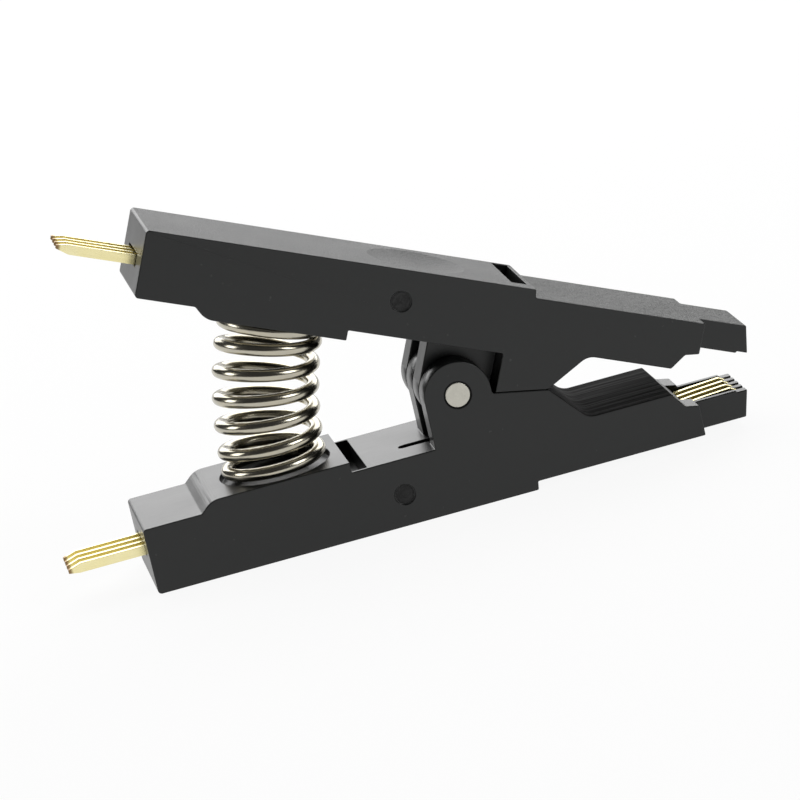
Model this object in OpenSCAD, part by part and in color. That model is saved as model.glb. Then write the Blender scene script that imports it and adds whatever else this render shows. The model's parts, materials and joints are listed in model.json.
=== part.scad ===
// Eight-way IC test clip: two identical hinged plastic halves, each with four
// flat contact strips, held shut by a bowed compression spring behind the pivot.
// Millimetres. The lower handle lies flat on Z = 0, the origin is on that face
// straight below the pivot, +X runs to the jaws and Y is across the clip.
// Each half is drawn in a moulding frame: the pivot axis is the origin, +X runs
// to the jaws and -Z to the outer face.

/* [Housing] */
// Width of each half
body_w = 10.3; // [9.9:0.1:14]
// Height of the pivot axis over a handle's flat outer face
outer_h = 9.6; // [9.2:0.1:12]
// Length of a handle, from the pivot to its rear end
handle_l = 27.6; // [25:0.1:40]
// Thickness of a handle at its rear grip
grip_t = 5.6; // [4.6:0.1:6]
// Thickness of a handle at the spring boss
boss_t = 6.5; // [6.1:0.1:7]
// Thickness of a handle between the boss and the ears
bay_t = 5.65; // [4.8:0.05:5.8]
// Radius of the small rounded outside edges
edge_r = 0.3; // [0.1:0.05:0.5]
// Angle between the two handles when the jaws are shut
shut_angle = 23.8; // [20:0.2:27]

/* [Jaws] */
// Length of a jaw, from the pivot to the tip
jaw_l = 24.05; // [23.6:0.05:30]
// Length of the narrow tip in front of the nose
tip_l = 4.65; // [4:0.05:5]
// Drop from the handle's outer face to the nose's outer face
nose_drop = 0.7; // [0.3:0.1:1]
// Distance from the pivot to the start of the nose
nose_x = 4.9; // [4.8:0.1:6]
// Distance from the pivot to the rear corner of the mouth
mouth_x = 7.4; // [6.8:0.1:8.2]
// Angle of the mouth's rear slope to the jaw
mouth_angle = 49; // [44:1:56]
// Thickness of the nose at the mouth
nose_t = 4.15; // [3.9:0.05:4.4]
// Radius of the mouth's inner corner
mouth_r = 1.4; // [0.6:0.1:2]
// Length of the step from the mouth to the end of the nose
step_l = 2.1; // [1.8:0.1:2.6]
// Thickness of the nose at its front end
nose_end_t = 2.6; // [2.5:0.05:2.9]
// Thickness of the narrow tip
tip_t = 2.4; // [2.2:0.05:2.5]
// How far the tip's outer edge stands back from its inner edge
tip_rake = 0.55; // [0:0.05:0.8]
// Thickness of the side rims of the contact trough
rim_t = 0.55; // [0.4:0.05:0.8]
// Length of the comb at the front of the trough
comb_l = 0.95; // [0.8:0.05:1.2]
// Height of the comb below the rims
comb_drop = 0.15; // [0.05:0.05:0.3]

/* [Pivot] */
// Diameter of the pivot pin
pin_d = 2.1; // [1.6:0.1:2.6]
// Radial clearance of the pin in the moving half
pin_gap = 0.03; // [0.02:0.01:0.1]
// Outside radius of the ears
ear_r = 2.8; // [2.4:0.1:3.1]
// Thickness of the outer ear
outer_ear_w = 2.3; // [1.6:0.1:2.8]
// Side clearance between neighbouring ears
ear_gap = 0.1; // [0.05:0.05:0.2]
// Clearance in front of the other half's ears
notch_gap = 0.25; // [0.2:0.05:0.4]
// Gap between the shut faces of the two halves, to the middle plane
face_gap = 0.02; // [0.01:0.01:0.05]

/* [Spring] */
// Outside diameter of the spring
spring_od = 8.9; // [7:0.1:9.3]
// Diameter of the spring wire
wire_d = 1; // [0.7:0.05:1.1]
// Turns of the spring, with its two closed end turns
spring_turns = 7; // [6:1:8]
// Direction in which the wire starts, from the jaws towards +Y
wire_start = -40; // [-180:5:180]
// Distance from the pivot to the spring
spring_x = 15.45; // [15:0.05:17]
// Length of the boss that carries the spring
boss_l = 11; // [10.8:0.1:11.6]
// Depth of the spring's seat pocket
seat_depth = 0.6; // [0.3:0.1:0.8]
// Radial clearance of the spring in its pocket
seat_gap = 0.2; // [0.1:0.05:0.25]

/* [Contacts] */
// Distance between neighbouring contacts
pitch = 1.27; // [1.1:0.01:1.3]
// Thickness of a contact strip
strip_t = 0.4; // [0.25:0.05:0.45]
// Height of a contact strip
strip_h = 0.8; // [0.6:0.05:0.9]
// Depth of the strips below the handle's outer face
strip_depth = 2.65; // [2.4:0.05:2.8]
// Length of the contact tails behind the handle
tail_l = 6.5; // [4:0.1:9]
// Side clearance of a strip in its slot
slot_gap = 0.05; // [0.03:0.01:0.1]
// Gap from the outer contacts to the side rims of the trough
trough_gap = 0.45; // [0.3:0.05:0.6]
// Distance from the pivot to where the strips leave their slots
flex_x = 14.8; // [13:0.1:15]
// Length over which the strips step out to the springy end
flex_l = 3.4; // [2.8:0.1:3.6]
// Height of the springy end
flex_h = 0.55; // [0.4:0.05:0.6]
// Depth of the springy end below the nose's outer face
flex_depth = 1.6; // [1.3:0.05:1.7]
// Clearance for the springy end in its chamber and trough
flex_gap = 0.15; // [0.1:0.05:0.2]
// How far the contact ridge stands out over the tip's rims
ridge_rise = 0.05; // [0:0.05:0.2]
// Width of the contact ridge
ridge_l = 0.3; // [0.1:0.05:0.5]
// Distance from the ridge to the comb
ridge_gap = 0.2; // [0.2:0.05:0.5]
// Thickness of the lip in front of the strips' ends
lip_t = 0.4; // [0.3:0.05:0.5]

/* [Handle details] */
// Diameter of the round thumb scoop
scoop_d = 8.2; // [6:0.1:9]
// Depth of the thumb scoop
scoop_depth = 0.6; // [0.3:0.05:0.9]
// Distance from the pivot to the middle of the scoop
scoop_x = 4.4; // [4.2:0.1:6]
// Length of the moulding windows along the handle
window_l = 1.35; // [0.8:0.05:1.7]
// Depth of the outer moulding window
outer_window_depth = 2.1; // [1:0.1:2.3]
// Width of the wide rim beside the outer window
outer_window_rim = 1.8; // [0.6:0.1:2.5]
// Depth of the inner moulding window, in front of the boss
inner_window_depth = 1.7; // [0.8:0.1:1.9]
// Thickness of the thin rims beside both windows
window_rim = 0.35; // [0.3:0.05:0.8]
// Depth of the recess round the contact tails
tail_recess = 0.8; // [0.4:0.1:1.5]
// Diameter of the round ejector mark on each side
mark_d = 1.7; // [1:0.1:2.2]
// Depth of the ejector mark
mark_depth = 0.1; // [0.05:0.05:0.2]

/* [Hidden] */

$fn = 64;
arc_steps = 6;             // sides of each rounded corner
eps = 0.01;                // overlap of a cut with open air
bite = 0.3;                // how deep a piece of a half runs into the next
half_angle = shut_angle / 2;
plastic = [0.12, 0.12, 0.13];
gold = [0.85, 0.70, 0.38];
steel = [0.66, 0.66, 0.64];

// heights in the moulding frame, from the pivot axis
outer_z = -outer_h;
nose_z = outer_z + nose_drop;
grip_z = outer_z + grip_t;
boss_z = outer_z + boss_t;
bay_z = outer_z + bay_t;
mouth_z = nose_z + nose_t;
nose_end_z = nose_z + nose_end_t;
rim_z = nose_z + tip_t;
seat_z = boss_z - seat_depth;
strip_low_z = outer_z + strip_depth;
strip_high_z = strip_low_z + strip_h;

// places along the jaw and the handle
cheek_x = ear_r + notch_gap;
nose_end_x = jaw_l - tip_l;
step_x = nose_end_x - step_l;
boss_front_x = -spring_x + boss_l / 2;
boss_rear_x = -spring_x - boss_l / 2;
comb_x = jaw_l - comb_l;
step_mid_x = step_x + 0.45 * step_l;     // the steep half of the step ends here
step_fall = 0.25;                        // drop of its flat half
trough_x = step_mid_x + 0.1;             // the trough is open from here on

// the S-shaped ramp from the grip to the boss
ramp_angle = 42;
ramp_rise = boss_z - grip_z;
ramp_r = 0.5 * ramp_rise / (1 - cos(ramp_angle));
ramp_l = ramp_r * sin(ramp_angle) + 0.5 * ramp_rise / tan(ramp_angle);

// the contact strips and the spaces round them
contact_y = [for (i = [0:3]) (i - 1.5) * pitch];
slot_w = strip_t + 2 * slot_gap;
trough_w = 3 * pitch + strip_t + 2 * trough_gap;
tip_w = trough_w + 2 * rim_t;
flex_end_x = flex_x + flex_l;
flex_low_z = nose_z + flex_depth;
flex_high_z = flex_low_z + flex_h;
trough_z = flex_low_z - flex_gap;
ridge_z = rim_z + ridge_rise;            // the ridge that touches the IC
ridge_x = comb_x - ridge_gap - ridge_l / 2;
slot_end_x = jaw_l - lip_t;
strip_end_x = slot_end_x - slot_gap;
tail_x = -handle_l - tail_l;
tail_taper = 0.9;
tail_tip_h = 0.3;

// the ears, from the outer side to the middle
outer_ear_y = -body_w / 2 + outer_ear_w / 2;
inner_ear_w = body_w / 2 - outer_ear_w - 1.5 * ear_gap;
inner_ear_y = ear_gap / 2 + inner_ear_w / 2;

// the spring's axis is an arc square to both seats
arc_x = -seat_z / tan(half_angle);
arc_r = arc_x + spring_x;
seat_play = 0.02;          // gap between the spring and the upper seat
coil_r = (spring_od - wire_d) / 2;
arc_l = arc_r * shut_angle * PI / 180 - seat_play;
end_pitch = wire_d * 1.04;
live_pitch = (arc_l - wire_d - 2 * end_pitch) / (spring_turns - 2);
turn_steps = 20;
wire_sides = 8;
wire_flat_r = wire_d / 2 / cos(180 / wire_sides);

// height of the middle plane, where the shut halves meet, less the gap
function face_z(x) = -x * tan(half_angle) - face_gap;

// corner p of an outline, rounded with radius r between its neighbours a and b
function unit(v) = v / norm(v);
function rounded(a, p, b, r) =
    let (u = unit(a - p), v = unit(b - p), half = acos(u * v) / 2,
        c = p + unit(u + v) * r / sin(half),
        s = c + unit(p + u * r / tan(half) - c) * r,
        e = c + unit(p + v * r / tan(half) - c) * r)
    [for (i = [0:arc_steps]) c + r * unit((s - c) * (1 - i / arc_steps) + (e - c) * i / arc_steps)];

// length of spring wire stacked up after t turns
function wire_rise(t) = end_pitch * min(t, 1) + live_pitch * min(max(t - 1, 0), spring_turns - 2)
    + end_pitch * max(t - spring_turns + 1, 0);

// a plate cut square across the clip, w wide and centred on y
module plate(w, y = 0) {
    translate([0, y, 0])
        rotate([90, 0, 0])
            linear_extrude(w, center = true)
                children();
}

// a box from one corner to the other
module span(low, high) {
    translate(low)
        cube(high - low);
}

// side outline of one half, without its ears and its narrow tip
module half_outline() {
    mouth_top = [mouth_x, face_z(mouth_x)];
    mouth_low = [mouth_x + (mouth_top[1] - mouth_z) / tan(mouth_angle), mouth_z];
    polygon(concat(
        rounded([nose_x, outer_z], [-handle_l, outer_z], [-handle_l, grip_z], edge_r),
        rounded([-handle_l, outer_z], [-handle_l, grip_z], [boss_rear_x, grip_z], edge_r),
        [[boss_rear_x - ramp_l, grip_z]],
        [for (i = [0:arc_steps]) let (a = ramp_angle * (1 - i / arc_steps))
            [boss_rear_x - ramp_r * sin(a), boss_z - ramp_r * (1 - cos(a))]],
        [[boss_front_x, boss_z], [boss_front_x, bay_z], [cheek_x, bay_z]],
        [[cheek_x, face_z(cheek_x)], mouth_top],
        rounded(mouth_top, mouth_low, [step_x, mouth_z], mouth_r),
        [[step_x, mouth_z], [step_mid_x, nose_end_z + step_fall], [nose_end_x, nose_end_z], [nose_end_x, nose_z]],
        [[nose_x, nose_z], [nose_x - 0.1, outer_z]]
    ));
}

// side outline of the narrow tip, run back into the nose
module tip_outline() {
    polygon([[nose_end_x - bite, nose_z], [nose_end_x - bite, rim_z], [comb_x, rim_z],
        [comb_x, rim_z - comb_drop], [jaw_l, rim_z - comb_drop], [jaw_l - tip_rake, nose_z]]);
}

// side outline of one ear and the web that joins it to the bay and the cheek
module ear_outline() {
    circle(ear_r);
    polygon([[-ear_r, 0], [-ear_r, bay_z - bite], [cheek_x + bite, bay_z - bite],
        [cheek_x + bite, face_z(cheek_x + bite)], [ear_r, face_z(ear_r)], [ear_r, 0]]);
}

// side outline of a contact strip; the clearance c widens it on its inner side
module strip_outline(c = 0) {
    polygon([
        [tail_x, strip_low_z + 0.15], [tail_x + tail_taper, strip_low_z],
        [flex_x, strip_low_z], [flex_end_x, flex_low_z], [strip_end_x, flex_low_z],
        [strip_end_x, ridge_z - 0.4], [ridge_x + ridge_l / 2, ridge_z],
        [ridge_x - ridge_l / 2, ridge_z], [(flex_end_x + ridge_x) / 2, ridge_z - 0.12],
        [flex_end_x, flex_high_z + c], [flex_x, strip_high_z + c],
        [tail_x + tail_taper + 0.2, strip_high_z + c], [tail_x, strip_low_z + 0.15 + tail_tip_h]
    ]);
}

// side outline of the chamber in the nose, where the strips' ends can flex
module chamber_outline() {
    roof = flex_high_z + flex_gap;
    polygon([[flex_x, strip_high_z], [flex_x, strip_low_z - flex_gap], [flex_end_x, trough_z],
        [trough_x + eps, trough_z], [trough_x + eps, roof], [flex_end_x, roof]]);
}

// the slots that hold the four strips, and the open spaces round their two ends
module contact_spaces() {
    for (y = contact_y) {
        plate(slot_w, y)
            intersection() {
                strip_outline(slot_gap);
                translate([-handle_l - eps, outer_z])
                    square([handle_l + flex_x + 2 * eps, outer_h]);
            }
        span([comb_x - eps, y - slot_w / 2, trough_z], [slot_end_x, y + slot_w / 2, 0]);
        span([slot_end_x - eps, y - slot_w / 2, rim_z - 2 * comb_drop],
            [jaw_l + eps, y + slot_w / 2, 0]);
    }
    plate(trough_w)
        chamber_outline();
    span([trough_x, -trough_w / 2, trough_z], [comb_x, trough_w / 2, 0]);
    span([-handle_l - eps, -trough_w / 2, strip_low_z - flex_gap],
        [-handle_l + tail_recess, trough_w / 2, strip_high_z + flex_gap]);
}

// the windows, the thumb scoop, the core mark and the ejector marks
module handle_cuts() {
    scoop_r = (pow(scoop_d / 2, 2) + pow(scoop_depth, 2)) / (2 * scoop_depth);
    window_w = body_w / 2 - window_rim;
    core_w = 0.8;
    span([nose_x - 0.45 - window_l, -window_w, outer_z - eps],
        [nose_x - 0.45, body_w / 2 - outer_window_rim, outer_z + outer_window_depth]);
    span([boss_front_x, -window_w, bay_z - inner_window_depth],
        [boss_front_x + window_l, window_w, bay_z + eps]);
    translate([-scoop_x, 0, outer_z + scoop_depth - scoop_r])
        sphere(scoop_r, $fn = 128);
    translate([-ear_r - 2.1, -1.7, bay_z - 0.5])
        cylinder(h = 1, d = core_w);
    span([-ear_r - 2.1, -1.7 - core_w / 2, bay_z - 0.5], [-ear_r + 0.8, -1.7 + core_w / 2, bay_z + 0.5]);
    for (side = [-1, 1])
        translate([-6.1, side * body_w / 2, outer_z + strip_depth])
            rotate([90, 0, 0])
                cylinder(h = 2 * mark_depth, d = mark_d, center = true);
}

// one plastic half in the moulding frame, with bores of diameter bore_d
module housing(bore_d) {
    difference() {
        union() {
            plate(body_w)
                half_outline();
            plate(tip_w)
                tip_outline();
            plate(outer_ear_w, outer_ear_y)
                ear_outline();
            plate(inner_ear_w, inner_ear_y)
                ear_outline();
        }
        rotate([90, 0, 0])
            cylinder(h = body_w + 1, d = bore_d, center = true);
        translate([-spring_x, 0, seat_z])
            cylinder(h = seat_depth + 1, d = spring_od + 2 * seat_gap);
        contact_spaces();
        handle_cuts();
    }
}

// places a lower half in the clip
module lower_place() {
    translate([0, 0, outer_h])
        children();
}

// places the upper half: the same half turned over and tilted on the pivot
module upper_place() {
    translate([0, 0, outer_h])
        rotate([0, shut_angle, 0])
            rotate([180, 0, 0])
                children();
}

module lower_housing() {
    color(plastic)
        lower_place()
            housing(pin_d);
}

module upper_housing() {
    color(plastic)
        upper_place()
            housing(pin_d + 2 * pin_gap);
}

// contact strip i, from 1 to 4, of a half, counted from -Y in the moulding frame
module contact(i) {
    color(gold)
        plate(strip_t, contact_y[i - 1])
            strip_outline();
}

module lower_contact(i) {
    lower_place()
        contact(i);
}

module upper_contact(i) {
    upper_place()
        contact(5 - i);
}

// a wire of round section wound right-handed along the spring's bowed axis
module spring() {
    rings = spring_turns * turn_steps;
    points = [for (k = [0:rings]) let (
            t = k / turn_steps,
            turn = wire_start + 360 * t,
            psi = (wire_d / 2 + wire_rise(t)) / arc_r * 180 / PI,
            out = [-cos(psi), 0, sin(psi)],
            along = [sin(psi), 0, cos(psi)],
            ray = -cos(turn) * out + sin(turn) * [0, 1, 0],
            middle = [arc_x, 0, seat_z] + arc_r * out + coil_r * ray)
        for (j = [0:wire_sides - 1]) let (a = 360 * (j + 0.5) / wire_sides)
            middle + wire_flat_r * (cos(a) * ray + sin(a) * along)];
    sides = [for (k = [0:rings - 1]) for (j = [0:wire_sides - 1]) let (
            a = k * wire_sides + j,
            b = k * wire_sides + (j + 1) % wire_sides)
        each [[a, b, b + wire_sides], [a, b + wire_sides, a + wire_sides]]];
    first = [for (j = [wire_sides - 1:-1:0]) j];
    last = [for (j = [0:wire_sides - 1]) rings * wire_sides + j];
    color(steel)
        lower_place()
            polyhedron(points, concat(sides, [first, last]));
}

// the pin that both halves turn on, flush with their sides
module pivot_pin() {
    pin_l = body_w - 0.1;
    color(steel)
        lower_place()
            rotate([90, 0, 0])
                cylinder(h = pin_l, d = pin_d, center = true);
}

lower_housing();
upper_housing();
lower_contact(1);  // lower_contact_1
lower_contact(2);  // lower_contact_2
lower_contact(3);  // lower_contact_3
lower_contact(4);  // lower_contact_4
upper_contact(1);  // upper_contact_1
upper_contact(2);  // upper_contact_2
upper_contact(3);  // upper_contact_3
upper_contact(4);  // upper_contact_4
spring();
pivot_pin();
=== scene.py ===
"""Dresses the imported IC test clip: black moulded plastic with grain, gilt contact strips,
a smooth bowed compression spring in drawn steel, on a plain white studio floor.
Metres throughout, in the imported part's own frame."""

import json
from math import atan2, cos, pi, radians, sin, tan

import bmesh
import bpy
from mathutils import Matrix, Vector


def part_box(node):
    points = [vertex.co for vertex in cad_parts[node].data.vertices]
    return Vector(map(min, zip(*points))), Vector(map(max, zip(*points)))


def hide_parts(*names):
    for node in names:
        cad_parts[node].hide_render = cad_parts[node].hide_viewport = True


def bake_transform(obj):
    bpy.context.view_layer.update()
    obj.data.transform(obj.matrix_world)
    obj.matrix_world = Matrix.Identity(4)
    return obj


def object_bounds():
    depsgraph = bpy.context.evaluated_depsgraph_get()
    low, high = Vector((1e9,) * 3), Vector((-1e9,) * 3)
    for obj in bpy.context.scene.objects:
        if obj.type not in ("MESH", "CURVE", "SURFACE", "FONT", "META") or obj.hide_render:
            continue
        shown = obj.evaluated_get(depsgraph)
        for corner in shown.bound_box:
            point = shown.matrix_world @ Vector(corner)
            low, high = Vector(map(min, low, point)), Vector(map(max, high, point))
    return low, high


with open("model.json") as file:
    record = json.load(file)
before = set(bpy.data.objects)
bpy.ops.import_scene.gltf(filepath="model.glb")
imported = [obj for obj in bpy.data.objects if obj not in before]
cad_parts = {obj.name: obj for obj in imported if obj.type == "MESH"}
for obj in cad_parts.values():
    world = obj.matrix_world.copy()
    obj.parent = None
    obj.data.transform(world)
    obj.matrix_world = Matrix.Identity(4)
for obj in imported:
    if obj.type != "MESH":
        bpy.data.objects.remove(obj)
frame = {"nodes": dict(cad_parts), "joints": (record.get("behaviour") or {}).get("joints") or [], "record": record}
cad_box = [list(corner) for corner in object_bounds()]

MM = 0.001
NODES = frame["nodes"]

# ---- places and sizes of the clip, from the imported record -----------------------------
JOINT = frame["joints"][0]
PIVOT = Vector(JOINT["pos_m"])
MOUNTS = {m["name"]: m for m in frame["record"]["mounts"]}
UPPER_TAIL_AXIS = Vector(MOUNTS["upper_tails"]["axis"])
SHUT_ANGLE = atan2(UPPER_TAIL_AXIS.z, -UPPER_TAIL_AXIS.x)
SEAT_Z = JOINT["deforming_nodes"][0]["fixed_end_z_m"]

# places in each half's moulding frame, from the pivot: where the nose's coarser grain sets in,
# the ends of the mouth along the jaw, and the centre of the round ejector mark on each side
NOSE_START = (4.7 * MM, 5.1 * MM)
MOUTH = (7.2 * MM, 17.4 * MM)
MARK = (-6.1 * MM, 0, -6.95 * MM)
PIN_R = (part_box("pivot_pin")[1].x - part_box("pivot_pin")[0].x) / 2

# turns from each half's moulding frame (+X to the jaws, -Z to the outer face) to the clip
HALF_TURN = {
    "lower": Matrix.Identity(3),
    "upper": Matrix.Rotation(SHUT_ANGLE, 3, "Y") @ Matrix.Rotation(pi, 3, "X"),
}
OUTWARD = {half: turn @ Vector((0, 0, -1)) for half, turn in HALF_TURN.items()}


# ---- short ways to build node trees ----------------------------------------------------
def new_material(name):
    """A material with its node tree and its Principled shader."""
    made = bpy.data.materials.new(name)
    made.use_nodes = True
    return made, made.node_tree, made.node_tree.nodes["Principled BSDF"]


def add(tree, kind, inputs=None, **settings):
    """Adds a node, sets its properties, and sets or links its inputs."""
    node = tree.nodes.new(kind)
    for key, value in settings.items():
        setattr(node, key, value)
    for key, value in (inputs or {}).items():
        if isinstance(value, bpy.types.NodeSocket):
            tree.links.new(value, node.inputs[key])
        else:
            node.inputs[key].default_value = value
    return node


def calc(tree, operation, a, b=0.0):
    """One number worked out from two."""
    return add(tree, "ShaderNodeMath", {0: a, 1: b}, operation=operation).outputs[0]


def times(tree, first, *others):
    """The product of several numbers."""
    for other in others:
        first = calc(tree, "MULTIPLY", first, other)
    return first


def plus(tree, first, *others):
    """The sum of several numbers."""
    for other in others:
        first = calc(tree, "ADD", first, other)
    return first


def remap(tree, value, low, high, to_low=0.0, to_high=1.0):
    """value between low and high, turned smoothly into a number between the other two."""
    node = add(
        tree,
        "ShaderNodeMapRange",
        {0: value, 1: low, 2: high, 3: to_low, 4: to_high},
        interpolation_type="SMOOTHSTEP",
    )
    return node.outputs[0]


def mix_colour(tree, share, first, second):
    """A colour between two."""
    node = add(tree, "ShaderNodeMix", data_type="RGBA")
    for slot, value in ((0, share), (6, first), (7, second)):
        if isinstance(value, bpy.types.NodeSocket):
            tree.links.new(value, node.inputs[slot])
        else:
            node.inputs[slot].default_value = value
    return node.outputs[2]


def noise(tree, coords, size, detail=2.0, roughness=0.5, stretch=None):
    """Noise whose lumps are about size across, in metres, stretched by a factor on each axis."""
    if stretch:
        coords = add(
            tree, "ShaderNodeMapping", {"Vector": coords, "Scale": stretch}
        ).outputs[0]
    node = add(
        tree,
        "ShaderNodeTexNoise",
        {"Vector": coords, "Scale": 1 / size, "Detail": detail, "Roughness": roughness},
    )
    return node.outputs["Fac"]


def half_coords(tree, half):
    """Coordinates in a half's moulding frame, from the pivot axis, in metres."""
    place = add(tree, "ShaderNodeTexCoord").outputs["Object"]
    return add(
        tree,
        "ShaderNodeMapping",
        {
            "Vector": place,
            "Location": PIVOT,
            "Rotation": HALF_TURN[half].to_euler(),
        },
        vector_type="TEXTURE",
    ).outputs[0]


def near(tree, coords, centre, radius, edge):
    """1 within radius of an axis across the clip, falling to 0 over the edge."""
    flat = add(
        tree, "ShaderNodeVectorMath", {0: coords, 1: (1, 0, 1)}, operation="MULTIPLY"
    ).outputs["Vector"]
    away = add(
        tree, "ShaderNodeVectorMath", {0: flat, 1: centre}, operation="DISTANCE"
    ).outputs["Value"]
    return remap(tree, away, radius + edge, radius)


def dress(tree, shader, colour, rough, height, depth):
    """Links colour, roughness and a relief of the given depth to the shader."""
    bump = add(tree, "ShaderNodeBump", {"Height": height, "Distance": depth})
    tree.links.new(colour, shader.inputs["Base Color"])
    tree.links.new(rough, shader.inputs["Roughness"])
    tree.links.new(bump.outputs[0], shader.inputs["Normal"])


# ---- materials ---------------------------------------------------------------------------
PLASTIC_TONES = (0.004, 0.0048, 0.0046, 1), (0.012, 0.0135, 0.0128, 1)
SPECK_TONE = (0.030, 0.031, 0.030, 1)
GRAIN_TONES = (0.009, 0.0095, 0.009, 1), (0.032, 0.034, 0.031, 1)
# the darkest tone below: painted shade for the mouth floor and for a ring round the pin bore, and the dark part of
# the ejector marks' mottling
SHADE_AND_MARK_TONE = (0.0015, 0.0015, 0.0015, 1)
MARK_TONE = (0.016, 0.016, 0.016, 1)
PLASTIC_IOR = 1.48
GRAIN_DEPTH = 0.018 * MM
MOUTH_FADE = 0.2 * MM
MARK_R = 0.72 * MM
BORE_RING = 0.10 * MM


def black_plastic(half):
    """Glass-filled black plastic: spark-eroded grain on the outer face, coarser on the nose,
    polished, faintly wavy sides and inner faces, a rough streaked mouth and a ring round the pin bore painted near
    black as painted shade, and mottled marks."""
    made, tree, shader = new_material(f"plastic_{half}")
    coords = half_coords(tree, half)
    along = add(tree, "ShaderNodeSeparateXYZ", {0: coords}).outputs[0]
    facing = add(
        tree,
        "ShaderNodeVectorMath",
        {0: add(tree, "ShaderNodeTexCoord").outputs["Normal"], 1: OUTWARD[half]},
        operation="DOT_PRODUCT",
    ).outputs["Value"]

    # where each kind of surface is
    outer = remap(tree, facing, 0.80, 0.97)
    inner = remap(tree, facing, -0.30, -0.60)
    nose = times(tree, outer, remap(tree, along, *NOSE_START))
    mouth = times(
        tree,
        inner,
        remap(tree, along, MOUTH[0], MOUTH[0] + MOUTH_FADE),
        remap(tree, along, MOUTH[1] + MOUTH_FADE, MOUTH[1]),
    )
    mark = near(tree, coords, MARK, MARK_R, 0.12 * MM)
    # painted shade: the ring round the pin stands in for the shaded gap of the bore
    ring = near(tree, coords, (0, 0, 0), PIN_R + BORE_RING, 0.08 * MM)
    # painted shade: the mouth under the upper jaw and the ring round the pin are painted near black and made fully
    # rough
    shaded_and_dull = calc(tree, "MAXIMUM", mouth, ring)

    # what the surfaces are made of, with painted shade in the mouth and round the pin
    cloud = noise(tree, coords, 5 * MM, 3)
    fine = noise(tree, coords, 0.22 * MM, 3, 0.6)
    coarse = noise(tree, coords, 0.60 * MM, 4, 0.65, stretch=(1, 0.6, 1))
    waves = noise(tree, coords, 2.5 * MM, 2, stretch=(0.5, 1.2, 1.0))
    streaks = noise(tree, coords, 0.9 * MM, 2, 0.5, stretch=(0.06, 1, 1))
    blotch = noise(tree, coords, 0.5 * MM, 3, 0.7)
    specks = remap(tree, noise(tree, coords, 0.5 * MM, 2, 0.5), 0.72, 0.80)

    colour = mix_colour(tree, cloud, *PLASTIC_TONES)
    colour = mix_colour(tree, specks, colour, SPECK_TONE)
    grain_tone = mix_colour(tree, remap(tree, coarse, 0.35, 0.65), *GRAIN_TONES)
    colour = mix_colour(tree, nose, colour, grain_tone)
    # painted shade: the mouth and the ring round the pin painted near black
    colour = mix_colour(tree, shaded_and_dull, colour, SHADE_AND_MARK_TONE)
    mark_tone = mix_colour(tree, remap(tree, blotch, 0.42, 0.58), SHADE_AND_MARK_TONE, MARK_TONE)
    colour = mix_colour(tree, mark, colour, mark_tone)

    rough = plus(
        tree,
        0.28,
        times(tree, outer, 0.18),
        times(tree, cloud, 0.10),
        times(tree, mark, 0.30),
        times(tree, nose, coarse, 0.12),
    )
    rough = calc(tree, "MAXIMUM", rough, shaded_and_dull)

    height = plus(
        tree,
        times(tree, fine, plus(tree, 0.10, times(tree, outer, 4.0))),
        times(tree, coarse, nose, 14.0),
        times(tree, waves, 0.8),
        times(tree, streaks, mouth, 14.0),
        times(tree, blotch, mark, 5.0),
    )
    dress(tree, shader, colour, rough, height, GRAIN_DEPTH)
    shader.inputs["IOR"].default_value = PLASTIC_IOR
    return made


GOLD_TONES = (0.88, 0.78, 0.38, 1), (0.94, 0.87, 0.54, 1)
# dark brown of the tail ends: partly their unplated sheared metal, partly painted shade
BARE_AND_SHADE_TONE = (0.32, 0.21, 0.10, 1)
ROLL_DEPTH = 0.004 * MM


def gilt(half):
    """Gold-plated spring strip: rolled along its length, with the tail ends dark brown: partly unplated sheared
    metal, partly painted shade.
    """
    made, tree, shader = new_material(f"gilt_{half}")
    coords = half_coords(tree, half)
    along = add(tree, "ShaderNodeSeparateXYZ", {0: coords}).outputs[0]
    rolled = noise(tree, coords, 0.06 * MM, 2, stretch=(0.03, 1, 1))
    patch = noise(tree, coords, 1.6 * MM, 3)
    tail_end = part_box("lower_contact_1")[0].x - PIVOT.x
    # the ends of the tails, whose dark brown is partly unplated metal and partly painted shade
    bare_and_shaded = remap(tree, along, tail_end + 0.45 * MM, tail_end + 0.12 * MM)
    colour = mix_colour(tree, patch, *GOLD_TONES)
    # painted shade, together with the unplated sheared metal: tail ends turned dark brown
    colour = mix_colour(tree, bare_and_shaded, colour, BARE_AND_SHADE_TONE)
    rough = plus(tree, 0.16, times(tree, rolled, 0.16), times(tree, bare_and_shaded, 0.20))
    dress(tree, shader, colour, rough, rolled, ROLL_DEPTH)
    shader.inputs["Metallic"].default_value = 1.0
    return made


WIRE_TONES = (0.43, 0.42, 0.37, 1), (0.54, 0.49, 0.37, 1)
DRAW_DEPTH = 0.004 * MM


def spring_steel():
    """Bright drawn wire: lines along the wire and a faint straw tint from stress relief."""
    made, tree, shader = new_material("spring_steel")
    wire = add(tree, "ShaderNodeUVMap", uv_map="wire").outputs[0]
    drawn = noise(tree, wire, 0.05 * MM, 3, 0.6, stretch=(0.02, 1, 1))
    place = add(tree, "ShaderNodeTexCoord").outputs["Object"]
    straw = noise(tree, place, 2.2 * MM, 3)
    colour = mix_colour(tree, straw, *WIRE_TONES)
    rough = plus(tree, 0.12, times(tree, drawn, 0.16))
    dress(tree, shader, colour, rough, drawn, DRAW_DEPTH)
    shader.inputs["Metallic"].default_value = 1.0
    return made


PIN_TONES = (0.44, 0.43, 0.37, 1), (0.72, 0.70, 0.63, 1)
SCUFF_DEPTH = 0.02 * MM


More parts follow.
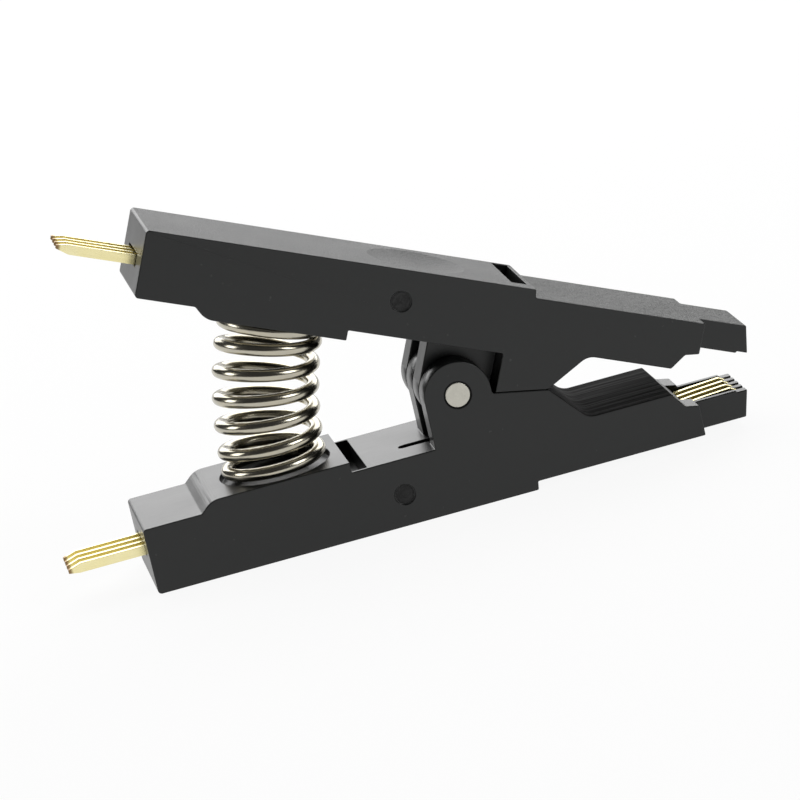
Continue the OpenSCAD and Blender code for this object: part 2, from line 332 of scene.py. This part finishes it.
def pin_steel():
    """Plain steel pin with scuffed, cropped ends."""
    made, tree, shader = new_material("pin_steel")
    scuffs = noise(tree, half_coords(tree, "lower"), 0.35 * MM, 4, 0.6)
    colour = mix_colour(tree, scuffs, *PIN_TONES)
    rough = remap(tree, scuffs, 0.3, 0.7, 0.28, 0.5)
    dress(tree, shader, colour, rough, scuffs, SCUFF_DEPTH)
    shader.inputs["Metallic"].default_value = 1.0
    return made


# ---- the CAD pieces: edges broken, surfaces finished -------------------------------------
HOUSING_EDGE = 0.09 * MM
STRIP_EDGE = 0.03 * MM
PIN_EDGE = 0.08 * MM


def break_edges(piece, width, segments=2):
    """Rounds a CAD piece's sharp edges, as the mould or the punch leaves them."""
    weld = piece.modifiers.new("weld", "WELD")
    weld.merge_threshold = 0.001 * MM
    flats = piece.modifiers.new("flats", "DECIMATE")
    flats.decimate_type = "DISSOLVE"
    flats.angle_limit = radians(1)
    bevel = piece.modifiers.new("bevel", "BEVEL")
    bevel.width = width
    bevel.segments = segments
    bevel.limit_method = "ANGLE"
    bevel.angle_limit = radians(35)
    bevel.use_clamp_overlap = False
    bevel.harden_normals = True
    bevel.miter_outer = "MITER_ARC"


def finish_node(name, finish):
    """Gives a CAD node its material."""
    piece = NODES[name]
    piece.data.materials.clear()
    piece.data.materials.append(finish)
    return piece


for half in ("lower", "upper"):
    break_edges(finish_node(f"{half}_housing", black_plastic(half)), HOUSING_EDGE)
    strip_finish = gilt(half)
    for i in range(1, 5):
        break_edges(finish_node(f"{half}_contact_{i}", strip_finish), STRIP_EDGE)
break_edges(finish_node("pivot_pin", pin_steel()), PIN_EDGE, segments=3)


# ---- the spring ----------------------------------------------------------------------------
WIRE_D = 1.08 * MM
TURNS = 7
WIRE_START = radians(45)
CLOSED_PITCH = 1.04 * WIRE_D    # of the two closed end turns
SEAT_PLAY = 0.02 * MM
TURN_STEPS = 56
WIRE_SIDES = 20


def make_spring():
    """Round wire wound right-handed on an arc that stands square on both seats."""
    low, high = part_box("spring")
    outside_d = high.y - low.y
    coil_r = (outside_d - WIRE_D) / 2
    seat_x = low.x + outside_d / 2
    centre = Vector((PIVOT.x + (PIVOT.z - SEAT_Z) / tan(SHUT_ANGLE / 2), 0, SEAT_Z))
    arc_r = centre.x - seat_x
    arc_l = arc_r * SHUT_ANGLE - SEAT_PLAY
    live_pitch = (arc_l - WIRE_D - 2 * CLOSED_PITCH) / (TURNS - 2)
    nudge = 0.01                # turns ahead and behind that give the wire's direction

    def middle(t):
        """Centre of the wire after t turns."""
        rise = CLOSED_PITCH * (min(t, 1) + max(t - TURNS + 1, 0))
        rise += live_pitch * min(max(t - 1, 0), TURNS - 2)
        psi = (WIRE_D / 2 + rise) / arc_r
        out = Vector((-cos(psi), 0, sin(psi)))
        turn = WIRE_START + 2 * pi * t
        ray = -cos(turn) * out + Vector((0, sin(turn), 0))
        return centre + arc_r * out + coil_r * ray, ray

    rings = TURNS * TURN_STEPS
    mesh = bmesh.new()
    uv = mesh.loops.layers.uv.new("wire")
    loops = []
    for k in range(rings + 1):
        t = k / TURN_STEPS
        point, ray = middle(t)
        ahead = middle(min(t + nudge, TURNS))[0] - middle(max(t - nudge, 0))[0]
        ahead.normalize()
        side = ahead.cross(ray).normalized()
        ray = side.cross(ahead)
        loops.append(
            [
                mesh.verts.new(point + WIRE_D / 2 * (cos(a) * ray + sin(a) * side))
                for a in (2 * pi * j / WIRE_SIDES for j in range(WIRE_SIDES))
            ]
        )
    step = 2 * pi * coil_r / TURN_STEPS
    for k in range(rings):
        for j in range(WIRE_SIDES):
            nxt = (j + 1) % WIRE_SIDES
            face = mesh.faces.new(
                (loops[k][j], loops[k][nxt], loops[k + 1][nxt], loops[k + 1][j])
            )
            face.smooth = True
            around = [j, j + 1, j + 1, j]
            length = [k, k, k + 1, k + 1]
            for loop, v, u in zip(face.loops, around, length):
                loop[uv].uv = (u * step, v * pi * WIRE_D / WIRE_SIDES)
    mesh.faces.new(list(reversed(loops[0])))
    mesh.faces.new(loops[-1])
    bmesh.ops.recalc_face_normals(mesh, faces=mesh.faces)
    data = bpy.data.meshes.new("spring_wire")
    mesh.to_mesh(data)
    mesh.free()
    spring = bpy.data.objects.new("spring_wire", data)
    bpy.context.scene.collection.objects.link(spring)
    data.materials.append(spring_steel())
    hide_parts("spring")
    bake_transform(spring)
    return spring


make_spring()


# ---- floor, light and camera ---------------------------------------------------------------
def white_to_sight(tree, lit, share):
    """Mixes a lit surface with plain white for what the camera, gloss and glass see of it."""
    path = add(tree, "ShaderNodeLightPath")
    seen = calc(tree, "MAXIMUM", path.outputs["Is Camera Ray"], path.outputs["Is Glossy Ray"])
    seen = calc(tree, "MAXIMUM", seen, path.outputs["Is Transmission Ray"])
    white = add(tree, "ShaderNodeEmission", {"Color": (1, 1, 1, 1), "Strength": 1.0})
    return add(
        tree,
        "ShaderNodeMixShader",
        {0: calc(tree, "MULTIPLY", seen, share), 1: lit, 2: white.outputs[0]},
    ).outputs[0]


FLOOR_SIDE = 3
FLOOR_GAP = 0.02 * MM           # keeps the floor clear of the handle that lies on it
FLOOR_TONE = (0.86, 0.86, 0.86, 1)
FLOOR_WHITE_SHARE = 0.92


def make_floor():
    """A plain white floor under the clip that keeps its soft shadow."""
    bpy.ops.mesh.primitive_plane_add(
        size=FLOOR_SIDE, location=(0, 0, cad_box[0][2] - FLOOR_GAP)
    )
    floor = bpy.context.object
    floor.name = "studio_floor"
    made, tree, shader = new_material("studio_floor")
    shader.inputs["Base Color"].default_value = FLOOR_TONE
    shader.inputs["Roughness"].default_value = 0.9
    shader.inputs["Specular IOR Level"].default_value = 0.1
    surface = white_to_sight(tree, shader.outputs[0], FLOOR_WHITE_SHARE)
    tree.links.new(surface, tree.nodes["Material Output"].inputs["Surface"])
    floor.data.materials.append(made)


SURROUND_LEVEL = 0.05


def make_world():
    """Dim surroundings of one even level; the camera sees white."""
    world = bpy.data.worlds.new("studio")
    bpy.context.scene.world = world
    world.use_nodes = True
    tree = world.node_tree
    background = tree.nodes["Background"]
    path = add(tree, "ShaderNodeLightPath")
    level = calc(tree, "MAXIMUM", SURROUND_LEVEL, path.outputs["Is Camera Ray"])
    tree.links.new(level, background.inputs["Strength"])
    background.inputs["Color"].default_value = (1, 1, 1, 1)


# each softbox: name, place, width and height, radiance
SOFTBOXES = (
    ("rear", (0.10, 0.46, 0.26), (0.80, 0.42), 2.7),
    ("top_rear", (0.05, 0.28, 0.50), (0.60, 0.40), 2.2),
    ("left", (-0.48, 0.04, 0.24), (0.20, 0.24), 4.0),
    ("right", (0.36, -0.28, 0.26), (0.24, 0.22), 5.0),
)
CLIP_MIDDLE = Vector((0, 0, 0.012))


def softbox(name, place, size, radiance):
    """A rectangular area light that looks at the clip."""
    data = bpy.data.lights.new(name, "AREA")
    data.shape = "RECTANGLE"
    data.size, data.size_y = size
    data.energy = radiance * pi * size[0] * size[1]
    lamp = bpy.data.objects.new(name, data)
    bpy.context.scene.collection.objects.link(lamp)
    lamp.location = place
    lamp.rotation_euler = (CLIP_MIDDLE - Vector(place)).to_track_quat("-Z", "Y").to_euler()
    lamp.visible_camera = False


# the photograph's viewpoint, from the pivot in the clip's own symmetric frame, in which the
# middle plane between the two halves is level
VIEW_AZIMUTH = radians(-10.346)
VIEW_ELEVATION = radians(13.410)
VIEW_ROLL = radians(-1.161)
VIEW_TARGET = Vector((-3.862, 0, -1.346)) * MM
VIEW_DISTANCE = 347.8 * MM
LENS = 189.62
SENSOR = 36


def make_camera():
    """The camera at the photograph's viewpoint, turned with the clip's middle plane."""
    ahead = Vector(
        (
            -sin(VIEW_AZIMUTH) * cos(VIEW_ELEVATION),
            cos(VIEW_AZIMUTH) * cos(VIEW_ELEVATION),
            -sin(VIEW_ELEVATION),
        )
    )
    level = Vector((cos(VIEW_AZIMUTH), sin(VIEW_AZIMUTH), 0))
    raised = level.cross(ahead)
    right = cos(VIEW_ROLL) * level + sin(VIEW_ROLL) * raised
    up = cos(VIEW_ROLL) * raised - sin(VIEW_ROLL) * level
    tilt = Matrix.Rotation(SHUT_ANGLE / 2, 3, "Y")
    axes = [tilt @ right, tilt @ up, tilt @ -ahead]
    place = PIVOT + tilt @ (VIEW_TARGET - ahead * VIEW_DISTANCE)
    data = bpy.data.cameras.new("camera")
    data.lens, data.sensor_width = LENS, SENSOR
    data.clip_start, data.clip_end = 0.05, 10
    camera = bpy.data.objects.new("camera", data)
    bpy.context.scene.collection.objects.link(camera)
    camera.matrix_world = Matrix.Translation(place) @ Matrix(axes).transposed().to_4x4()
    bpy.context.scene.camera = camera


for leftover in ("Cube", "Light", "Camera"):
    if leftover in bpy.data.objects:
        bpy.data.objects.remove(bpy.data.objects[leftover])
make_floor()
make_world()
for box in SOFTBOXES:
    softbox(*box)
make_camera()
bpy.context.scene.view_settings.view_transform = "Standard"
